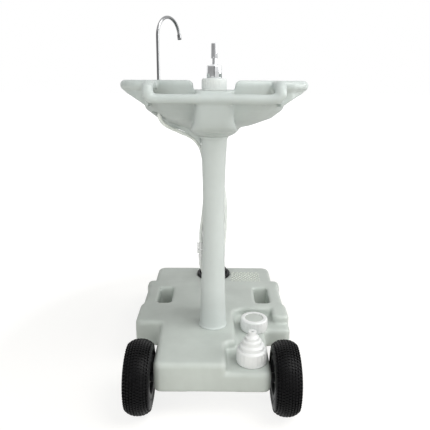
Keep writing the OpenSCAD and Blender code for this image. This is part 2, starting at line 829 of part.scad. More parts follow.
tap_bore_r = tap_d / 2 + 0.06;
tail_z = -70;      // end of the tap's threaded shank
tap_tip_l = 13;
bend_lap = 2;      // degrees of the bend inside the straight tube

module tap_base() {
    color(chrome) at_rim() difference() {
        union() {
            revolve_at(tap_at, [[0, -shelf_drop + 1], [16, -shelf_drop + 1], [16, -shelf_drop + 4],
                [13, -shelf_drop + 6.5], [9, -shelf_drop + 7.5], [9, -3], [7.5, -1.5], [0, -1.5]]);
            disc_at(tap_at, 7.5, tail_z, -shelf_drop + 1);
        }
        disc_at(tap_at, tap_bore_r, -45, 0);
        disc_at(tap_at, 3, tail_z - 1, -44);
    }
}

module tap_washer() {
    color("dimgray") at_rim() difference() {
        disc_at(tap_at, 15, -shelf_drop, -shelf_drop + 1);
        disc_at(tap_at, 7.5, -shelf_drop - 1, -shelf_drop + 2);
    }
}

module tap_nut() {
    color(chrome) at_rim() difference() {
        union() {
            disc_at(tap_at, 14, -boss_drop - 2, -boss_drop);
            translate([tap_at.x, tap_at.y, -boss_drop - 8]) cylinder(h = 6, r = 12.7, $fn = 6);
        }
        disc_at(tap_at, 7.5, -boss_drop - 9, -boss_drop + 1);
    }
}

module tap_tail() {
    color(cap_white) at_rim() revolve_at(tap_at, [[3, tail_z], [7.5, tail_z], [7.5, tail_z - 2],
        [supply_d / 2, tail_z - 4], [supply_d / 2, tail_z - 6], [3, tail_z - 6]]);
}

// The bend is a part of a ring, let into the straight tube's end
module tap_spout() {
    color(chrome) at_rim() translate([tap_at.x, tap_at.y, 0]) union() {
        translate([0, 0, -44]) cylinder(h = 44 + tap_straight, r = tap_d / 2);
        rotate(tap_turn) translate([tap_bend_r, 0, tap_straight]) rotate([90, 180 - bend_lap, 0])
            rotate_extrude(angle = -tap_bend - bend_lap)
                translate([tap_bend_r, 0]) circle(tap_d / 2 - 0.03);
    }
}

module tap_tip() {
    color(chrome) at_rim() translate([tap_at.x, tap_at.y, 0]) rotate(tap_turn)
        translate([tap_bend_r, 0, tap_straight]) rotate([0, tap_bend - 180, 0])
            translate([tap_bend_r, 0, -tap_tip_l]) difference() {
                cylinder(h = tap_tip_l, r = tap_d / 2 + 1.2);
                translate([0, 0, -1]) cylinder(h = 6, r = tap_d / 2 - 0.8);
            }
}

// Soap dispenser

module soap_bottle() {
    color("#dfe3e2") at_rim() revolve_at(soap_at, [[0, -98], [27, -98], [29.2, -96],
        [29.2, -shelf_drop + gap], [32, -shelf_drop + gap], [32, -shelf_drop + 2], [22, -shelf_drop + 2],
        [22, -5], [19.5, -5],
        [19.5, -shelf_drop], [26.8, -shelf_drop - 3], [26.8, -94.5], [25.5, -95.5], [0, -95.5]]);
}

module soap_collar() {
    r = collar_d / 2;
    color(cap_white) at_rim() union() {
        revolve_at(soap_at, [[22.4, -shelf_drop + 2.3], [r, -shelf_drop + 2.3], [r, 1.5], [r - 2.5, 4],
            [12, 4], [12, -4.7], [22.4, -4.7]]);
        knurl(soap_at, r - 0.5, -shelf_drop + 4, 0, 28);
    }
}

module soap_base() {
    color(chrome) at_rim() revolve_at(soap_at, [[5.32, -10], [11.8, -10], [11.8, 4], [18, 4], [18, 31],
        [16, 33], [9, 34], [9, 35], [5.32, 35], [5.32, 30], [9.5, 30], [9.5, 6], [5.32, 5]]);
}

module soap_stem() {
    color(chrome) at_rim() union() {
        disc_at(soap_at, 5.25, 1, 48);
        disc_at(soap_at, 9, 24, 26);
    }
}

module soap_head() {
    color(chrome) at_rim() difference() {
        union() {
            revolve_at(soap_at, [[0, 48.2], [8, 48.2], [8, 80.5], [6.5, 82], [0, 82]]);
            translate([soap_at.x, soap_at.y, 73]) rotate([-98, 0, 0]) cylinder(h = 50, r = 4.2);
        }
        translate([soap_at.x, soap_at.y, 73]) rotate([-98, 0, 0]) translate([0, 0, 20])
            cylinder(h = 31, r = 2.6);
    }
}

module soap_spring() {
    turns = 4;
    path = [for (i = [0 : turns * 10])
        let (a = 36 * i)
        [soap_at.x + 7.4 * cos(a), soap_at.y + 7.4 * sin(a), 7.2 + 15.6 * i / (turns * 10)]];
    color("silver") at_rim() swept(path, [for (p = path) 0.6], 6);
}

module soap_tube() {
    color("#dfe3e2") at_rim() difference() {
        disc_at(soap_at, 3.5, -90, -10);
        disc_at(soap_at, 2.3, -91, -9);
    }
}

// Hoses

valve_at = [-37, 22];
valve_z = [360, 414];
valve_mid_z = 387;

module valve_body() {
    color(cap_white) at_column() union() {
        disc_at(valve_at, supply_d / 2 + 0.6, valve_z[0], valve_z[1]);
        disc_at(valve_at, 7, valve_z[0] + 4, valve_z[0] + 16);
        disc_at(valve_at, 7, valve_z[1] - 16, valve_z[1] - 4);
        translate([valve_at.x, valve_at.y, valve_mid_z]) rotate([0, -90, 0]) cylinder(h = 7.5, r = 7);
    }
}

// Lever on the valve's outer side, standing up when the valve is open
module valve_lever() {
    color(cap_white) at_column() translate([valve_at.x - 7.8, valve_at.y, valve_mid_z])
        rotate([0, -90, 0]) union() {
            cylinder(h = 3, r = 6.5);
            translate([0, -3, 0]) cube([26, 6, 3]);
        }
}

// Saddle that holds the valve to the column
module valve_clip() {
    color(cap_white) at_column() difference() {
        translate([0, 0, 392]) rotate(atan2(valve_at.y, valve_at.x)) translate([28, -7, 0])
            cube([13, 14, 4]);
        rotate_extrude() polygon([[0, 380], [column_r(380) + 0.05, 380], [column_r(410) + 0.05, 410],
            [0, 410]]);
        disc_at(valve_at, supply_d / 2 + 0.6, 350, 420);
    }
}

module pump_hose() {
    color("#e4e8e6") at_column() hose(pump_route, 2, supply_d, 8);
}

module tap_hose() {
    color("#e4e8e6") at_column() hose(tap_route, 2, supply_d, 8);
}

module drain_hose() {
    color("#eceeee") at_column() hose(drain_route, 2, drain_d, 12);
}

module waste_inlet() {
    color(cap_white) revolve_at(inlet_at, [[5, deck_z - 9], [inlet_r - 0.1, deck_z - 9],
        [inlet_r - 0.1, deck_z], [15, deck_z], [15, deck_z + 3], [10.5, deck_z + 5], [9.5, deck_z + 30],
        [drain_d / 2, deck_z + 32],
        [drain_d / 2, 200], [7, 200], [7, deck_z + 10], [5, deck_z + 5]]);
}

tank();
axle();
left_spacer();
right_spacer();
left_tyre();
right_tyre();
left_rim();
right_rim();
left_bush();
right_bush();
left_axle_cap();
right_axle_cap();
fill_cap();
fill_cap_disc();
fill_seal();
adapter_cap();
adapter_seal();
pump_housing();
pump_ring();
pump_bellows();
pump_spring();
pump_pedal();
pump_outlet();
column();
column_collar();
basin();
near_rail();
left_rail();
right_rail();
drain_strainer();
drain_gasket();
drain_nut();
drain_tail();
tap_base();
tap_washer();
tap_nut();
tap_tail();
tap_spout();
tap_tip();
soap_bottle();
soap_collar();
soap_base();
soap_stem();
soap_head();
soap_spring();
soap_tube();
valve_body();
valve_lever();
valve_clip();
pump_hose();
tap_hose();
drain_hose();
waste_inlet();
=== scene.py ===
import json
import math
import bmesh
import bpy
from mathutils import Matrix, Vector

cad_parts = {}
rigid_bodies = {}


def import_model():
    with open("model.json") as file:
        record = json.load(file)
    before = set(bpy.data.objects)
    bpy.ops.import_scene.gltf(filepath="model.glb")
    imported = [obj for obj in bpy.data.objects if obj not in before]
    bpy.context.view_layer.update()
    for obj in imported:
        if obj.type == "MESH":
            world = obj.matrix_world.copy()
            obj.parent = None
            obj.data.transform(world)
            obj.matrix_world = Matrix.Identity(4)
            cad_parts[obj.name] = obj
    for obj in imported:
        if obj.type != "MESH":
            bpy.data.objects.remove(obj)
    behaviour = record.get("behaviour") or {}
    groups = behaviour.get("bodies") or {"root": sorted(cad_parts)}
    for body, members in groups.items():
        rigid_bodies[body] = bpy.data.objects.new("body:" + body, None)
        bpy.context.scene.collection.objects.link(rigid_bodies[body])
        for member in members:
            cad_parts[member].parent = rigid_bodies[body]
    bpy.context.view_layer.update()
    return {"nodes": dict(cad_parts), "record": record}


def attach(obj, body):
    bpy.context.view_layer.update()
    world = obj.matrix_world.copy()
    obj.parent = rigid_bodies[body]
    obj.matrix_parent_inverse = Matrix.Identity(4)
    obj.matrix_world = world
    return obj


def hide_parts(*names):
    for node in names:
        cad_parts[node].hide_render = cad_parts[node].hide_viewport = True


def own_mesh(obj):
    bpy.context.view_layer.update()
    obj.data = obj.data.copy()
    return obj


for ob in list(bpy.data.objects):  # the start-up file's own objects
    bpy.data.objects.remove(ob)
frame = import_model()
bodyOf = {node: body for body, members in frame["record"]["behaviour"]["bodies"].items() for node in members}
print("frame loaded:", len(frame["nodes"]), "nodes")

# places that several pieces share, in metres, as in the part's source
place = {
    "columnY": -0.106,
    "platformZ": 0.148,
    "wheel": (0.197, -0.295, 0.100),
}

# camera, light and ground

cameraSetup = {"place": (0.004, -1.459, 0.876), "pitch": 15.4, "roll": 0.4, "lens": 41.02,
               "sensor": 36.0, "clip": (0.05, 60.0)}
lamps = [
    # name, place, size, watts, colour, seen in reflections
    ("keyLamp", (1.36, -1.05, 2.83), 1.7, 48.0, (1.0, 0.995, 0.985), True),
    ("sideLamp", (2.73, -0.10, 1.44), 1.5, 36.0, (1.0, 1.0, 1.0), True),
    ("fillLamp", (-1.86, -1.96, 1.68), 1.8, 24.0, (0.985, 0.995, 1.0), False),
    ("frontLamp", (0.25, -2.93, 1.05), 1.6, 24.5, (1.0, 0.99, 0.97), False),
]
lampTarget = (0.0, -0.1, 0.45)
ambient = {"colour": (0.98, 0.965, 0.89, 1.0), "strength": 0.18}
# the camera sees white, less a share of the floor's own shade, which fades out away from the stand
ground = {"size": 30.0, "colour": (0.84, 0.82, 0.77, 1.0), "white": 1.24, "mirrored": 0.8,
          "shadowShare": 0.35, "fade": (0.7, 1.2)}
# cards that only a reflection shows: name, place, size, grey
cards = [
    ("darkCard", (0.05, -2.6, 0.9), (0.42, 2.4), 0.005),
    ("greyCard", (-2.6, -1.0, 0.9), (5.0, 3.0), 0.38),
    ("nearCard", (-1.15, -3.1, 0.9), (2.1, 3.0), 0.40),
]
cardTarget = (0.0, 0.0, 0.6)


def linear(red, green, blue):
    # a screen colour from 0 to 255 as the shader's linear colour
    parts = [v / 255 for v in (red, green, blue)]
    return tuple(v / 12.92 if v <= 0.04045 else ((v + 0.055) / 1.055) ** 2.4 for v in parts) + (1.0,)


def addCamera():
    data = bpy.data.cameras.new("photoCamera")
    data.sensor_width, data.lens = cameraSetup["sensor"], cameraSetup["lens"]
    data.clip_start, data.clip_end = cameraSetup["clip"]
    ob = bpy.data.objects.new("photoCamera", data)
    bpy.context.scene.collection.objects.link(ob)
    turn = Matrix.Rotation(math.radians(90 - cameraSetup["pitch"]), 4, "X")
    ob.matrix_world = (Matrix.Translation(cameraSetup["place"]) @ turn
                       @ Matrix.Rotation(math.radians(cameraSetup["roll"]), 4, "Z"))
    bpy.context.scene.camera = ob


def addLamps():
    for name, at, size, watts, colour, mirrored in lamps:
        data = bpy.data.lights.new(name, "AREA")
        data.size, data.energy, data.color = size, watts, colour
        ob = bpy.data.objects.new(name, data)
        bpy.context.scene.collection.objects.link(ob)
        ob.location = at
        ob.rotation_euler = (Vector(lampTarget) - Vector(at)).to_track_quat("-Z", "Y").to_euler()
        ob.visible_glossy = mirrored


class Sum:
    # a socket that can stand in a sum: each operator adds its Math node
    def __init__(self, look, socket):
        self.look, self.socket = look, socket

    def math(self, operation, *values):
        return self.look.add("ShaderNodeMath", values, {"operation": operation})

    def other(self, output):
        # another output of the same node
        return Sum(self.look, self.socket.node.outputs[output])

    def __add__(self, other):
        return self.math("ADD", self, other)

    def __sub__(self, other):
        return self.math("SUBTRACT", self, other)

    def __rsub__(self, other):
        return self.math("SUBTRACT", other, self)

    def __mul__(self, other):
        return self.math("MULTIPLY", self, other)

    __radd__, __rmul__ = __add__, __mul__


class Look:
    # one node tree: a material's, or the world's
    def __init__(self, name, tree=None):
        if tree is None:
            self.material = bpy.data.materials.new(name)
            self.material.use_nodes = True
            tree = self.material.node_tree
        self.tree = tree
        self.tree.nodes.clear()

    def add(self, kind, values=(), settings=None, out=0):
        # a node, what its inputs are fed by name or in order, and its own settings
        node = self.tree.nodes.new(kind)
        for key, value in (settings or {}).items():
            setattr(node, key, value)
        for key, value in values.items() if isinstance(values, dict) else enumerate(values):
            self.feed(node.inputs[key], value)
        return Sum(self, node.outputs[out]) if node.outputs else None

    def feed(self, socket, value):
        if isinstance(value, Sum):
            self.tree.links.new(value.socket, socket)
        else:
            socket.default_value = value

    def spot(self, stretch=(1, 1, 1)):
        # where a point is on its piece, drawn out along an axis if asked
        spot = self.add("ShaderNodeTexCoord", out=3)
        return self.add("ShaderNodeMapping", {"Vector": spot, "Scale": stretch})

    def noise(self, scale, detail=2.0, roughness=0.5, stretch=(1, 1, 1)):
        return self.add("ShaderNodeTexNoise", {
            "Vector": self.spot(stretch), "Scale": scale, "Detail": detail, "Roughness": roughness})

    def step(self, value, low, high):
        # 0 below low, 1 above high
        return self.add("ShaderNodeMapRange", {"Value": value, "From Min": low, "From Max": high})

    def blend(self, share, first, second):
        inputs = {0: share, 6: first, 7: second}  # the colour sockets of a node that mixes every kind
        return self.add("ShaderNodeMix", inputs, {"data_type": "RGBA"}, out=2)

    def surface(self, values, height=None, depth=0.001, strength=0.5):
        # the one shader, with a bump from height; finishes the material
        if height is not None:
            values["Normal"] = self.add("ShaderNodeBump", {
                "Height": height, "Distance": depth, "Strength": strength})
        shader = self.add("ShaderNodeBsdfPrincipled", values)
        self.add("ShaderNodeOutputMaterial", {"Surface": shader})
        return self.material


def addWorld():
    world = bpy.data.worlds.new("studioWorld")
    world.use_nodes = True
    bpy.context.scene.world = world
    look = Look("studioWorld", world.node_tree)
    rays = look.add("ShaderNodeLightPath")  # its first output is for what the camera sees
    seen = rays + rays.other("Is Glossy Ray") + rays.other("Is Transmission Ray")
    light = look.add("ShaderNodeBackground", {"Color": ambient["colour"], "Strength": ambient["strength"]})
    white = look.add("ShaderNodeBackground", {"Color": (1, 1, 1, 1), "Strength": 1.0})
    both = look.add("ShaderNodeMixShader", (seen, light, white))
    look.add("ShaderNodeOutputWorld", {"Surface": both})


def addGround():
    work = bmesh.new()
    bmesh.ops.create_grid(work, x_segments=2, y_segments=2, size=ground["size"])
    floor = finished("studioFloor", work)
    look = Look("studioFloor")
    rays = look.add("ShaderNodeLightPath")
    away = look.add("ShaderNodeVectorMath", (look.spot(),), {"operation": "LENGTH"}, out=1)
    near = 1 - look.step(away, *ground["fade"])
    shade = look.add("ShaderNodeBsdfDiffuse", {"Color": ground["colour"]})
    white = look.add("ShaderNodeEmission", {"Color": (1, 1, 1, 1), "Strength": ground["white"]})
    shown = look.add("ShaderNodeMixShader", (1 - near * ground["shadowShare"], shade, white))
    mirrored = look.add("ShaderNodeEmission", {"Color": (1, 1, 1, 1), "Strength": ground["mirrored"]})
    floorFor = look.add("ShaderNodeMixShader", (rays, shade, shown))
    glossy = rays.other("Is Glossy Ray")
    look.add("ShaderNodeOutputMaterial", {
        "Surface": look.add("ShaderNodeMixShader", (glossy, floorFor, mirrored))})
    floor.data.materials.append(look.material)


def addCards():
    # plain cards beside the camera, seen in reflections alone
    for name, at, size, grey in cards:
        work = bmesh.new()
        bmesh.ops.create_grid(work, x_segments=1, y_segments=1, size=0.5)
        bmesh.ops.scale(work, vec=(size[0], size[1], 1), verts=work.verts)
        turn = (Vector(cardTarget) - Vector(at)).to_track_quat("Z", "Y").to_matrix()
        bmesh.ops.rotate(work, cent=(0, 0, 0), matrix=turn, verts=work.verts)
        bmesh.ops.translate(work, vec=at, verts=work.verts)
        card = finished(name, work)
        look = Look(name)
        shine = look.add("ShaderNodeEmission", {"Color": (grey, grey, grey, 1), "Strength": 1.0})
        look.add("ShaderNodeOutputMaterial", {"Surface": shine})
        card.data.materials.append(look.material)
        card.visible_camera = card.visible_diffuse = False
        card.visible_shadow = card.visible_transmission = False


# mesh tools

tolerance = {"merge": 2e-6, "degenerate": 1e-6, "seam": 1e-6}  # metres within which points are one


def finished(name, work, smooth=None):
    # a bmesh as an object at the origin; smooth is the angle up to which edges are shaded soft
    mesh = bpy.data.meshes.new(name)
    work.to_mesh(mesh)
    work.free()
    ob = bpy.data.objects.new(name, mesh)
    bpy.context.scene.collection.objects.link(ob)
    if smooth is not None:
        shadeSoft(mesh, smooth)
    return ob


def shadeSoft(mesh, angle):
    mesh.shade_smooth()
    work = bmesh.new()
    work.from_mesh(mesh)
    limit = math.radians(angle)
    for edge in work.edges:
        edge.smooth = len(edge.link_faces) == 2 and edge.calc_face_angle(0.0) < limit
    work.to_mesh(mesh)
    work.free()


def mergedCopy(*nodes):
    # the CAD nodes' meshes in one, with their loose triangles joined
    work = bmesh.new()
    for node in nodes:
        work.from_mesh(frame["nodes"][node].data)
    bmesh.ops.remove_doubles(work, verts=work.verts, dist=tolerance["merge"])
    bmesh.ops.dissolve_degenerate(work, edges=work.edges, dist=tolerance["degenerate"])
    return work


def bake(ob):
    # applies the modifiers
    deps = bpy.context.evaluated_depsgraph_get()
    mesh = bpy.data.meshes.new_from_object(ob.evaluated_get(deps))
    ob.modifiers.clear()
    ob.data = mesh


def modifier(ob, kind, **settings):
    made = ob.modifiers.new(kind.lower(), kind)
    for key, value in settings.items():
        setattr(made, key, value)
    return made


def dress(ob, material, *nodes, slot=None, body=None):
    # the piece's material, the body that it rides on and the nodes that it stands for
    ob.data.materials.clear()
    ob.data.materials.append(material)
    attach(ob, body or bodyOf[nodes[0]])
    if nodes:
        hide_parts(*nodes)
    return ob


def boxMesh(work, low, high):
    made = bmesh.ops.create_cube(work, size=1.0)["verts"]
    size = Vector(high) - Vector(low)
    bmesh.ops.scale(work, vec=size, verts=made)
    bmesh.ops.translate(work, vec=(Vector(high) + Vector(low)) / 2, verts=made)
    return made


def spun(work, outline, centre, axis, steps):
    # a closed outline turned once round an axis
    verts = [work.verts.new(p) for p in outline]
    edges = [work.edges.new((a, b)) for a, b in zip(verts, verts[1:])]
    bmesh.ops.spin(work, geom=verts + edges, cent=centre, axis=axis, dvec=(0, 0, 0), angle=2 * math.pi,
                   steps=steps, use_merge=True, use_duplicate=False)
    bmesh.ops.remove_doubles(work, verts=work.verts, dist=tolerance["seam"])
    bmesh.ops.recalc_face_normals(work, faces=work.faces)


# materials

plasticLooks = {
    # base colour, how dark it gets, roughness, scale and depth of the grain, and how glossy if not as usual
    "tankPlastic": {"colour": linear(194, 201, 196), "shade": 0.90, "roughness": 0.46,
                    "grain": 420, "depth": 0.0005},
    "basinPlastic": {"colour": linear(190, 198, 196), "shade": 0.92, "roughness": 0.42,
                     "grain": 420, "depth": 0.0005},
    "columnPlastic": {"colour": linear(204, 211, 209), "shade": 0.93, "roughness": 0.38,
                      "grain": 420, "depth": 0.0004},
    "capWhite": {"colour": linear(230, 232, 232), "shade": 0.95, "roughness": 0.32,
                 "grain": 600, "depth": 0.0002},
    "collarPlastic": {"colour": linear(214, 219, 218), "shade": 0.94, "roughness": 0.36,
                      "grain": 600, "depth": 0.0002},
    "capDisc": {"colour": linear(190, 195, 191), "shade": 0.92, "roughness": 0.45,
                "grain": 600, "depth": 0.0003},
    "bushPlastic": {"colour": linear(52, 52, 51), "shade": 0.85, "roughness": 0.40,
                    "grain": 600, "depth": 0.0002},
    # the tread is the tank's plastic painted lighter: a painted highlight for the light that its raised
    # diamonds catch
    "treadPaintedHighlight": {"colour": linear(218, 223, 214), "shade": 0.95, "roughness": 0.40,
                     "grain": 420, "depth": 0.0002},
    "rimPlastic": {"colour": linear(30, 31, 33), "shade": 0.80, "roughness": 0.48,
                   "grain": 600, "depth": 0.0004, "gloss": 0.3},
    "pumpPlastic": {"colour": linear(24, 25, 27), "shade": 0.78, "roughness": 0.42,
                    "grain": 700, "depth": 0.0004, "gloss": 0.15},
    "rubberBlack": {"colour": linear(21, 22, 24), "shade": 0.75, "roughness": 0.62,
                    "grain": 900, "depth": 0.0003, "gloss": 0.15},
    "rubberGrey": {"colour": linear(86, 87, 88), "shade": 0.80, "roughness": 0.66,
                   "grain": 900, "depth": 0.0003},
}
plasticDetail = {
    # what every plastic shares: soft clouds, dusty specks, the grain's pebbles and the moulding's slow swell
    "cloudScale": 9.0, "cloudRange": (0.35, 0.68), "cloudRough": 0.10,
    "speckScale": 1.7, "speckRange": (0.66, 0.74), "speckShare": 0.35, "speckShade": 0.86,
    "pebbleRough": 0.08, "pebbleHeight": 0.6, "swellScale": 22.0, "swellHeight": 1.6,
    "bump": 0.55, "refraction": 1.5,
}


def darker(colour, share):
    return tuple(v * share for v in colour[:3]) + (1.0,)


def makePlastic(name, colour, shade, roughness, grain, depth, gloss=0.5):
    look, detail = Look(name), plasticDetail
    cloud = look.step(look.noise(detail["cloudScale"], 4.0, 0.6), *detail["cloudRange"])
    pebble = look.noise(grain, 3.0, 0.55)
    speck = look.step(look.noise(grain * detail["speckScale"], 2.0), *detail["speckRange"])
    tone = look.blend(cloud, colour, darker(colour, shade))
    tone = look.blend(speck * detail["speckShare"], tone, darker(colour, shade * detail["speckShade"]))
    swell = look.noise(detail["swellScale"], 2.0)
    return look.surface({
        "Base Color": tone,
        "Roughness": roughness + detail["cloudRough"] * (cloud - 0.5) + detail["pebbleRough"] * (pebble - 0.5),
        "IOR": detail["refraction"],
        "Specular IOR Level": gloss,
    }, pebble * detail["pebbleHeight"] + swell * detail["swellHeight"], depth, detail["bump"])


metalLooks = {
    # colour, roughness, and how the brushing is drawn out along an axis
    "chrome": {"colour": (0.84, 0.85, 0.86, 1.0), "roughness": 0.06},
    # the tap's chrome, painted darker: a painted shade that stands for the dark surroundings its reflections
    # show
    "chromeWithPaintedShade": {"colour": (0.32, 0.325, 0.33, 1.0), "roughness": 0.07},
    "steel": {"colour": (0.52, 0.53, 0.54, 1.0), "roughness": 0.30, "stretch": (0.05, 1, 1)},
}
metalDetail = {"brushScale": 320.0, "brushRough": 0.06, "smearScale": 45.0, "smearRange": (0.4, 0.7),
               "smearRough": 0.08, "smearShade": 0.86, "depth": 0.0002, "bump": 0.15}


def makeMetal(name, colour, roughness, stretch=(1, 1, 1)):
    look, detail = Look(name), metalDetail
    brushed = look.noise(detail["brushScale"], 3.0, 0.6, stretch)
    smear = look.step(look.noise(detail["smearScale"], 3.0), *detail["smearRange"])
    return look.surface({
        "Base Color": look.blend(smear, colour, darker(colour, detail["smearShade"])),
        "Metallic": 1.0,
        "Roughness": roughness + detail["smearRough"] * smear + detail["brushRough"] * (brushed - 0.5),
    }, brushed, detail["depth"], detail["bump"])


tyreLook = {"colour": linear(13, 13, 14), "dusty": linear(26, 26, 28), "dustScale": 60.0,
            "dustRange": (0.48, 0.72), "dustShare": 0.6, "roughness": 0.36, "dustRough": 0.28,
            "poreScale": 1400.0, "poreRough": 0.10, "gloss": 0.13, "swellScale": 90.0,
            "depth": 0.0006, "bump": 0.6}


def makeTyre(name):
    look, values = Look(name), tyreLook
    dust = look.step(look.noise(values["dustScale"], 4.0, 0.65), *values["dustRange"])
    pore = look.noise(values["poreScale"], 2.0)
    tone = look.blend(dust * values["dustShare"], values["colour"], values["dusty"])
    return look.surface({
        "Base Color": tone,
        "Roughness": values["roughness"] + values["dustRough"] * dust + values["poreRough"] * (pore - 0.5),
        "Specular IOR Level": values["gloss"],
    }, pore * 0.5 + look.noise(values["swellScale"], 3.0), values["depth"], values["bump"])


hoseLook = {"colour": linear(232, 236, 233), "cloudy": linear(214, 220, 217), "cloudScale": 40.0,
            "cloudRange": (0.35, 0.7), "roughness": 0.26, "cloudRough": 0.12, "fineScale": 900.0,
            "fineRough": 0.05, "light": 0.25, "reach": 0.004, "depth": 0.0003, "bump": 0.3}


def makeHose(name):
    # pale, slightly cloudy plastic that lets some light through
    look, values = Look(name), hoseLook
    cloud = look.step(look.noise(values["cloudScale"], 3.0), *values["cloudRange"])
    fine = look.noise(values["fineScale"], 2.0)
    return look.surface({
        "Base Color": look.blend(cloud, values["colour"], values["cloudy"]),
        "Roughness": values["roughness"] + values["cloudRough"] * cloud + values["fineRough"] * fine,
        "Subsurface Weight": values["light"],
        "Subsurface Radius": (values["reach"],) * 3,
        "Subsurface Scale": 1.0,
    }, fine + cloud, values["depth"], values["bump"])


materials = {name: makePlastic(name, **values) for name, values in plasticLooks.items()}
materials |= {name: makeMetal(name, **values) for name, values in metalLooks.items()}
materials["tyreRubber"] = makeTyre("tyreRubber")
materials["hosePlastic"] = makeHose("hosePlastic")
materials["bottlePlastic"] = makeHose("bottlePlastic")
print("materials made:", len(materials))

addCamera()
addLamps()
addWorld()
addGround()
addCards()
print("camera, light and ground made")

# hoses: each is a fixed length between two fittings

hoses = {
    # route measured from the column's axis and the ground, in metres, as in the part's source
    "tapHose": {"node": "tap_hose", "diameter": 0.010, "stiffness": "medium", "route": [
        (-0.142, -0.060, 0.800), (-0.142, -0.060, 0.794), (-0.142, -0.060, 0.786), (-0.139, -0.055, 0.774),
        (-0.130, -0.043, 0.762), (-0.118, -0.029, 0.753), (-0.104, -0.015, 0.745), (-0.089, -0.004, 0.737),
        (-0.074, 0.004, 0.730), (-0.060, 0.013, 0.721), (-0.048, 0.022, 0.708), (-0.036, 0.028, 0.686),
        (-0.027, 0.032, 0.640), (-0.025, 0.033, 0.570), (-0.029, 0.028, 0.510), (-0.036, 0.023, 0.455),
        (-0.037, 0.022, 0.434), (-0.037, 0.022, 0.424), (-0.037, 0.022, 0.414)]},
    "pumpHose": {"node": "pump_hose", "diameter": 0.010, "stiffness": "medium", "route": [
        (-0.037, 0.022, 0.360), (-0.037, 0.022, 0.352), (-0.037, 0.022, 0.344), (-0.029, 0.031, 0.310),
        (-0.018, 0.044, 0.262), (-0.012, 0.062, 0.212), (-0.012, 0.090, 0.180), (-0.012, 0.130, 0.1665),
        (-0.012, 0.180, 0.1655), (-0.012, 0.240, 0.1655), (-0.013, 0.300, 0.168), (-0.014, 0.334, 0.170),
        (-0.014, 0.342, 0.170), (-0.014, 0.350, 0.170)]},
    "drainHose": {"node": "drain_hose", "diameter": 0.020, "stiffness": "stiff", "route": [
        (0.000, 0.100, 0.711), (0.000, 0.100, 0.701), (0.000, 0.100, 0.691), (0.005, 0.089, 0.650),
        (0.015, 0.064, 0.604), (0.025, 0.040, 0.562), (0.030, 0.032, 0.522), (0.030, 0.032, 0.484),
        (0.029, 0.035, 0.440), (0.026, 0.044, 0.388), (0.023, 0.058, 0.330), (0.022, 0.067, 0.275),
        (0.022, 0.068, 0.220), (0.022, 0.068, 0.210), (0.022, 0.068, 0.200)]},
}


hoseMesh = {"steps": 5, "rounding": 5}  # points to each part of a route, and how round the hose is


def smoothRoute(points, steps):
    # points of the smooth curve through a route
    path = []
    last = len(points) - 1
    for i in range(last):
        a, b = points[max(i - 1, 0)], points[i]
        c, d = points[i + 1], points[min(i + 2, last)]
        for k in range(steps + (i == last - 1)):
            t = k / steps
            path.append((2 * b + (c - a) * t + (2 * a - 5 * b + 4 * c - d) * t * t
                         + (3 * b - a - 3 * c + d) * t * t * t) / 2)
    return path


def makeHoseCurve(name, node, diameter, stiffness, route):
    shift = Vector((0, place["columnY"], 0))
    path = smoothRoute([Vector(p) + shift for p in route], hoseMesh["steps"])
    data = bpy.data.curves.new(name, "CURVE")
    data.dimensions, data.bevel_depth, data.bevel_resolution = "3D", diameter / 2, hoseMesh["rounding"]
    data.use_fill_caps = True
    spline = data.splines.new("POLY")
    spline.points.add(len(path) - 1)
    for point, spot in zip(spline.points, path):
        point.co = (*spot, 1.0)
    ob = bpy.data.objects.new(name, data)
    bpy.context.scene.collection.objects.link(ob)
    dress(ob, materials["hosePlastic"], node, slot="hose_plastic")
    measured = sum((b - a).length for a, b in zip(path, path[1:]))
    print(name, "is", round(measured, 4), "m long")


for name, values in hoses.items():
    makeHoseCurve(name, **values)
print("hoses made")

# the blow-moulded tank and basin: their solids, softened as a moulding is

tankShell = {
    "nodes": ["tank"], "voxel": 0.0038, "passes": 7,
    # boxes that close the rooms inside, which nothing shows
    "rooms": [
        ((-0.1475, -0.2795, 0.0775), (0.1475, -0.1245, 0.1275)),
        ((-0.1475, -0.1265, 0.0775), (0.0615, 0.0005, 0.1275)),
        ((-0.2225, -0.0845, 0.0775), (-0.1455, 0.0005, 0.1275)),
        ((-0.1475, -0.2795, 0.1255), (0.0255, -0.1245, 0.1545)),
        ((-0.1475, -0.1265, 0.1255), (0.0555, 0.0005, 0.1545)),
        ((-0.2225, -0.0845, 0.1255), (-0.1455, 0.0005, 0.1545)),
        ((0.0695, -0.1175, 0.0775), (0.1475, 0.0295, 0.1275)),
        ((0.1455, -0.0845, 0.0775), (0.2225, 0.0275, 0.1275)),
        ((-0.1275, 0.0275, 0.0775), (0.1275, 0.2505, 0.1275)),
        ((-0.2225, 0.0075, 0.0775), (0.0715, 0.0295, 0.1275)),
        ((-0.1275, 0.0275, 0.1255), (0.1275, 0.2225, 0.1545)),
        ((-0.2225, 0.0075, 0.1255), (-0.1255, 0.0295, 0.1545)),
        ((-0.1275, 0.2485, 0.0775), (0.1275, 0.3435, 0.1065))],
    # boxes round the hand holes, in which the edges are rounder, and by how many passes
    "rounder": [
        ((-0.242, 0.034, 0.118), (-0.128, 0.178, 0.170)), ((0.128, 0.034, 0.118), (0.242, 0.178, 0.170))],
    "roundPasses": 26,
}
basinShell = {
    "nodes": ["basin", "near_rail", "left_rail", "right_rail"], "voxel": 0.0032, "passes": 5,
    # the web that comes down beside the neck to the hose: its two sides, and its outline across the stand
    "web": {"low": -0.114, "high": -0.098, "outline": [
        (-0.150, 0.790), (-0.143, 0.772), (-0.135, 0.7625), (-0.121, 0.752), (-0.106, 0.7475),
        (-0.0965, 0.7470), (-0.089, 0.7435), (-0.074, 0.7365), (-0.052, 0.720), (-0.042, 0.708),
        (-0.036, 0.700), (-0.036, 0.764), (-0.100, 0.770), (-0.140, 0.792)]},
}
softening = 0.5  # how far one pass moves a point


def inside(spot, low, high):
    return all(a <= v <= b for a, v, b in zip(low, spot, high))


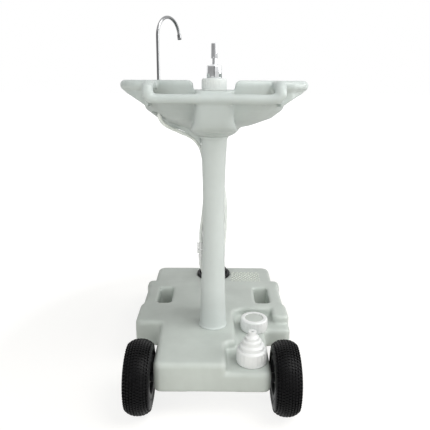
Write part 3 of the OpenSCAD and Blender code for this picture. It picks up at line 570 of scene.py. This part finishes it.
def plateMesh(work, low, high, outline):
    # a plate with its outline across the stand, between two distances along it
    face = work.faces.new([work.verts.new((x, low, z)) for x, z in outline])
    grown = bmesh.ops.extrude_face_region(work, geom=[face])["geom"]
    moved = [part for part in grown if isinstance(part, bmesh.types.BMVert)]
    bmesh.ops.translate(work, vec=(0, high - low, 0), verts=moved)


def softShell(name, material, slot, nodes, voxel, passes, rooms=(), rounder=(), roundPasses=0, web=None):
    # the remesh keeps what can be reached from outside, so solids that touch become one
    work = mergedCopy(*nodes)
    for low, high in rooms:
        boxMesh(work, low, high)
    if web:
        plateMesh(work, **web)
    ob = finished(name, work)
    modifier(ob, "REMESH", mode="VOXEL", voxel_size=voxel, use_smooth_shade=True)
    modifier(ob, "SMOOTH", factor=softening, iterations=passes)
    bake(ob)
    if rounder:
        group = ob.vertex_groups.new(name="rounder")
        chosen = [v.index for v in ob.data.vertices if any(inside(v.co, *box) for box in rounder)]
        group.add(chosen, 1.0, "REPLACE")
        modifier(ob, "SMOOTH", factor=softening, iterations=roundPasses, vertex_group="rounder")
        bake(ob)
        ob.vertex_groups.clear()
    ob.data.shade_smooth()
    print(name, "has", len(ob.data.polygons), "faces")
    return dress(ob, material, *nodes, slot=slot)


softShell("tankShell", materials["tankPlastic"], "tank_plastic", **tankShell)
softShell("basinShell", materials["basinPlastic"], "basin_plastic", **basinShell)

platformTread = {
    # low diamonds that keep a foot from slipping beside the pump: the first one's place, steps along and
    # across, how many, half width, its share at the foot and at the top, height, and depth in the tank
    "start": (0.070, 0.250), "step": (0.0145, 0.0115), "count": (8, 8), "half": 0.0035, "shares": (1.3, 0.8),
    "height": 0.0028, "sunk": 0.0012,
}


def makeTread(start, step, count, half, shares, height, sunk):
    work = bmesh.new()
    middle = place["platformZ"] + (height - sunk) / 2
    for row in range(count[1]):
        odd = row % 2
        for column in range(count[0] - odd):
            made = bmesh.ops.create_cone(work, segments=4, radius1=half * shares[0], radius2=half * shares[1],
                                         cap_ends=True, depth=height + sunk)["verts"]
            at = (start[0] + step[0] * (column + 0.5 * odd), start[1] + step[1] * row, middle)
            bmesh.ops.translate(work, vec=at, verts=made)
    tread = finished("platformTread", work, smooth=20)
    # the tread's lighter colour is a painted highlight, for the light on the raised diamonds
    dress(tread, materials["treadPaintedHighlight"], body="stand", slot="tank_plastic")


makeTread(**platformTread)
print("tank, basin and tread made")

# tyres

tyreShape = {
    "steps": 96, "halfWidth": 0.0362, "rings": 14,
    # the bare surface: its radius at the wall, how much more at the middle, and the powers of its curve
    "wallRadius": 0.0775, "crown": 0.0193, "powers": (2.35, 0.8),
    # side wall from the bead up: distance from the axis, and from the tyre's middle plane
    "wall": [(0.052, -0.0295), (0.061, -0.0300), (0.069, -0.0342), (0.074, -0.0357)],
    # knobs: height, depth in the tyre, and how much narrower at the top, so that their sides catch the light
    "tread": 0.0034, "sunk": 0.0012, "taper": 0.78,
    # rows to each side: distance from the middle plane, knobs round it, half width, half length
    "knobRows": [(0.0, 76, 0.0029, 0.0029), (0.0080, 74, 0.0028, 0.0028), (0.0158, 72, 0.0028, 0.0028),
                 (0.0232, 68, 0.0026, 0.0028), (0.0294, 64, 0.0024, 0.0028)],
}


def tyreRadius(offset):
    # how far the tyre's bare surface is from its axis, at a distance from its middle plane
    share = min(abs(offset) / tyreShape["halfWidth"], 0.999)
    flat, drop = tyreShape["powers"]
    return tyreShape["wallRadius"] + tyreShape["crown"] * (1 - share ** flat) ** drop


def addKnobs(work, centre, offset, count, halfWidth, halfLength):
    # one row of knobs round the tyre: one knob, tilted with the surface, then spun
    low, high = (-halfWidth, -halfLength, -tyreShape["sunk"]), (halfWidth, halfLength, tyreShape["tread"])
    made = boxMesh(work, low, high)
    for vert in made:
        if vert.co.z > 0:
            vert.co.x *= tyreShape["taper"]
            vert.co.y *= tyreShape["taper"]
    reach = 0.002  # to each side of the knob, for the surface's slope
    slope = math.atan2(tyreRadius(offset + reach) - tyreRadius(offset - reach), 2 * reach)
    bmesh.ops.rotate(work, cent=(0, 0, 0), matrix=Matrix.Rotation(-slope, 3, "Y"), verts=made)
    at = Vector(centre) + Vector((offset, 0, tyreRadius(offset)))
    bmesh.ops.translate(work, vec=at, verts=made)
    edges = {edge for vert in made for edge in vert.link_edges}
    faces = {face for vert in made for face in vert.link_faces}
    bmesh.ops.spin(work, geom=[*made, *edges, *faces], cent=centre, axis=(1, 0, 0), dvec=(0, 0, 0),
                   angle=2 * math.pi * (count - 1) / count, steps=count - 1, use_merge=False,
                   use_duplicate=True)


def makeTyreMesh(name, node, side):
    x, y, z = place["wheel"]
    x *= side
    work = bmesh.new()
    rings, wall = tyreShape["rings"], tyreShape["wall"]
    offsets = [tyreShape["halfWidth"] * (i / rings - 1) for i in range(1, 2 * rings)]
    outline = [(x + u, y, z + r) for r, u in wall]
    outline += [(x + u, y, z + tyreRadius(u)) for u in offsets]
    outline += [(x - u, y, z + r) for r, u in reversed(wall)] + [(x + wall[0][1], y, z + wall[0][0])]
    spun(work, outline, (x, y, z), (1, 0, 0), tyreShape["steps"])
    for offset, *knob in tyreShape["knobRows"]:
        for sign in ((1, -1) if offset else (1,)):
            addKnobs(work, (x, y, z), offset * sign, *knob)
    ob = finished(name, work, smooth=38)
    print(name, "has", len(ob.data.polygons), "faces")
    dress(ob, materials["tyreRubber"], node, slot="tyre_rubber")


makeTyreMesh("leftTyre", "left_tyre", -1)
makeTyreMesh("rightTyre", "right_tyre", 1)
print("tyres made")

# every other node: its own shape with rounded edges and a finish

roundedNodes = {
    # finish, record slot, then node: (edge radius in mm, angle that counts as an edge)
    ("columnPlastic", "column_plastic"): {"column": (1.4, 35), "column_collar": (1.4, 35)},
    ("capWhite", "cap_white"): {
        "fill_cap": (0.5, 35), "adapter_cap": (0.9, 22), "drain_nut": (0.6, 30), "drain_tail": (0.5, 30),
        "tap_tail": (0.4, 30), "valve_body": (0.5, 35), "valve_lever": (0.6, 35), "valve_clip": (0.4, 35),
        "waste_inlet": (0.6, 30)},
    ("collarPlastic", "cap_white"): {"soap_collar": (0.5, 35)},
    ("capDisc", "cap_disc"): {"fill_cap_disc": (0.5, 35)},
    ("rubberGrey", "seal_rubber"): {
        "fill_seal": (0.3, 35), "adapter_seal": (0.3, 35), "drain_gasket": (0.3, 35), "tap_washer": (0.2, 35)},
    ("rimPlastic", "rim_plastic"): {
        "left_rim": (0.9, 35), "right_rim": (0.9, 35), "left_spacer": (0.5, 35), "right_spacer": (0.5, 35),
        "left_axle_cap": (0.5, 25), "right_axle_cap": (0.5, 25)},
    ("bushPlastic", "bush_plastic"): {"left_bush": (0.3, 35), "right_bush": (0.3, 35)},
    ("steel", "axle_steel"): {"axle": (0.5, 35), "pump_spring": (0, 70), "soap_spring": (0, 70)},
    ("pumpPlastic", "pump_plastic"): {
        "pump_housing": (0.8, 35), "pump_ring": (0.8, 25), "pump_pedal": (0.9, 22), "pump_outlet": (0.3, 35)},
    ("rubberBlack", "pump_rubber"): {"pump_bellows": (0.6, 30)},
    # the tap pieces take the chrome painted darker, a painted shade on their reflections
    ("chromeWithPaintedShade", "chrome"): {"tap_base": (0.5, 25), "tap_spout": (0, 40), "tap_tip": (0.4, 35)},
    ("chrome", "chrome"): {
        "drain_strainer": (0.4, 30), "tap_nut": (0.5, 35), "soap_base": (0.5, 25), "soap_stem": (0.3, 35),
        "soap_head": (0.6, 30)},
    ("bottlePlastic", "bottle_plastic"): {"soap_bottle": (0.5, 30), "soap_tube": (0.2, 35)},
}
# angles under which facets become one flat and edges are shaded soft, and the faces across a rounded edge
rounding = {"flatAngle": 0.4, "softAngle": 32, "segments": 2}
pressed = {
    # soft node: the joint that presses it, the height of its foot, and how much of its height is left
    "pump_bellows": ("pump_press", 0.1500, 0.11),
    "pump_spring": ("pump_press", 0.1174, 0.74),
    "soap_spring": ("soap_press", 0.8826, 0.40),
}


def camel(node):
    first, *rest = node.split("_")
    return first + "".join(part.capitalize() for part in rest) + "Piece"


def roundedCopy(node, finish, slot, radius, angle):
    work = mergedCopy(node)
    flat = math.radians(rounding["flatAngle"])
    bmesh.ops.dissolve_limit(work, angle_limit=flat, verts=work.verts, edges=work.edges)
    ob = finished(camel(node), work)
    if radius:
        modifier(ob, "BEVEL", width=radius / 1000, segments=rounding["segments"], limit_method="ANGLE",
                 angle_limit=math.radians(angle), use_clamp_overlap=True, harden_normals=False,
                 miter_outer="MITER_ARC")
        bake(ob)
    shadeSoft(ob.data, rounding["softAngle"])
    return dress(ob, materials[finish], node, slot=slot)


for (finish, slot), group in roundedNodes.items():
    for node, (radius, angle) in group.items():
        ob = roundedCopy(node, finish, slot, radius, angle)
        if node in pressed:
            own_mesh(ob)
print("small pieces made")

bpy.context.scene.view_settings.view_transform = "Standard"
